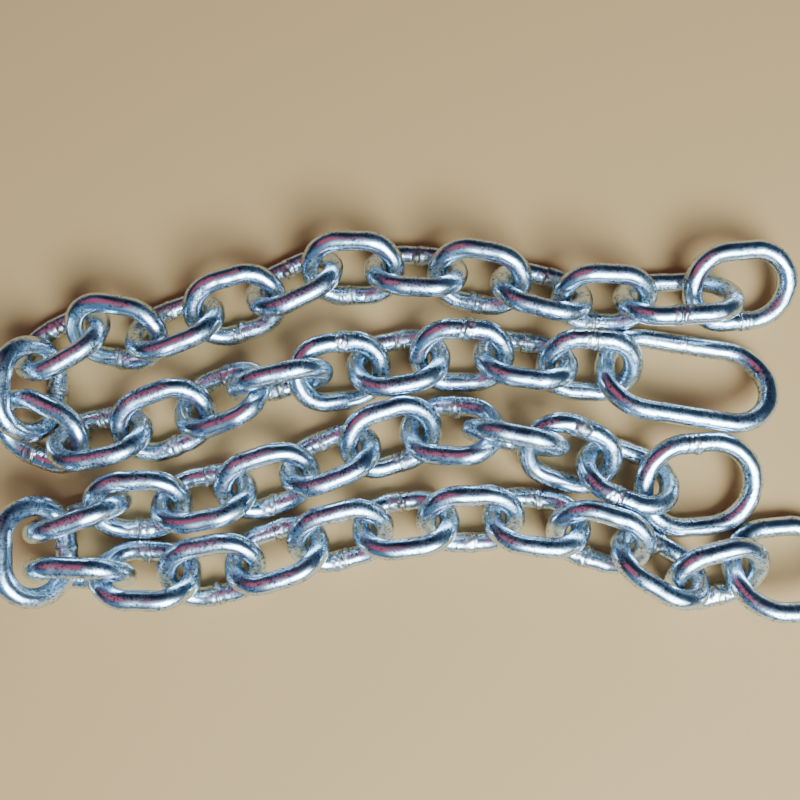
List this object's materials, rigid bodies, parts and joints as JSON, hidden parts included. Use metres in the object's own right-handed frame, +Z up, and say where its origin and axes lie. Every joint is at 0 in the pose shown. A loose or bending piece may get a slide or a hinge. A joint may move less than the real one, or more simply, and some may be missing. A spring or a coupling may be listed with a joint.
{
  "type": "heap of steel chain",
  "caption": "Heap of zinc-plated welded steel chain: lengths of short-link chain doubled back in rows on the ground, with larger rings at the free ends.",
  "frame": {"origin": "on the ground, under the middle of the heap's outline", "axes": "+X along the rows towards the free ends, +Y across the rows from the second chain to the first, +Z up"},
  "size_m": [0.3426, 0.156, 0.0344],
  "materials": {
    "zinc_plated_steel": "bright zinc plating, softly glossy, a little dull at the welds"
  },
  "bodies": {
    "root": {"chain_a_oval_ring": "zinc_plated_steel", "chain_a_joining_link": "zinc_plated_steel", "chain_a_link_01": "zinc_plated_steel", "chain_a_link_02": "zinc_plated_steel", "chain_a_link_03": "zinc_plated_steel", "chain_a_link_04": "zinc_plated_steel", "chain_a_link_05": "zinc_plated_steel", "chain_a_link_06": "zinc_plated_steel", "chain_a_link_07": "zinc_plated_steel", "chain_a_link_08": "zinc_plated_steel", "chain_a_link_09": "zinc_plated_steel", "chain_a_link_10": "zinc_plated_steel", "chain_a_turn_link": "zinc_plated_steel", "chain_a_link_11": "zinc_plated_steel", "chain_a_link_12": "zinc_plated_steel", "chain_a_link_13": "zinc_plated_steel", "chain_a_link_14": "zinc_plated_steel", "chain_a_link_15": "zinc_plated_steel", "chain_a_link_16": "zinc_plated_steel", "chain_a_link_17": "zinc_plated_steel", "chain_a_link_18": "zinc_plated_steel", "chain_a_link_19": "zinc_plated_steel", "chain_a_link_20": "zinc_plated_steel", "chain_a_long_ring": "zinc_plated_steel", "chain_b_wide_ring_1": "zinc_plated_steel", "chain_b_link_01": "zinc_plated_steel", "chain_b_link_02": "zinc_plated_steel", "chain_b_link_03": "zinc_plated_steel", "chain_b_link_04": "zinc_plated_steel", "chain_b_link_05": "zinc_plated_steel", "chain_b_link_06": "zinc_plated_steel", "chain_b_link_07": "zinc_plated_steel", "chain_b_link_08": "zinc_plated_steel", "chain_b_link_09": "zinc_plated_steel", "chain_b_link_10": "zinc_plated_steel", "chain_b_turn_link": "zinc_plated_steel", "chain_b_link_11": "zinc_plated_steel", "chain_b_link_12": "zinc_plated_steel", "chain_b_link_13": "zinc_plated_steel", "chain_b_link_14": "zinc_plated_steel", "chain_b_link_15": "zinc_plated_steel", "chain_b_link_16": "zinc_plated_steel", "chain_b_link_17": "zinc_plated_steel", "chain_b_link_18": "zinc_plated_steel", "chain_b_link_19": "zinc_plated_steel", "chain_b_link_20": "zinc_plated_steel", "chain_b_link_21": "zinc_plated_steel", "chain_b_wide_ring_2": "zinc_plated_steel"}
  },
  "joints": []
}
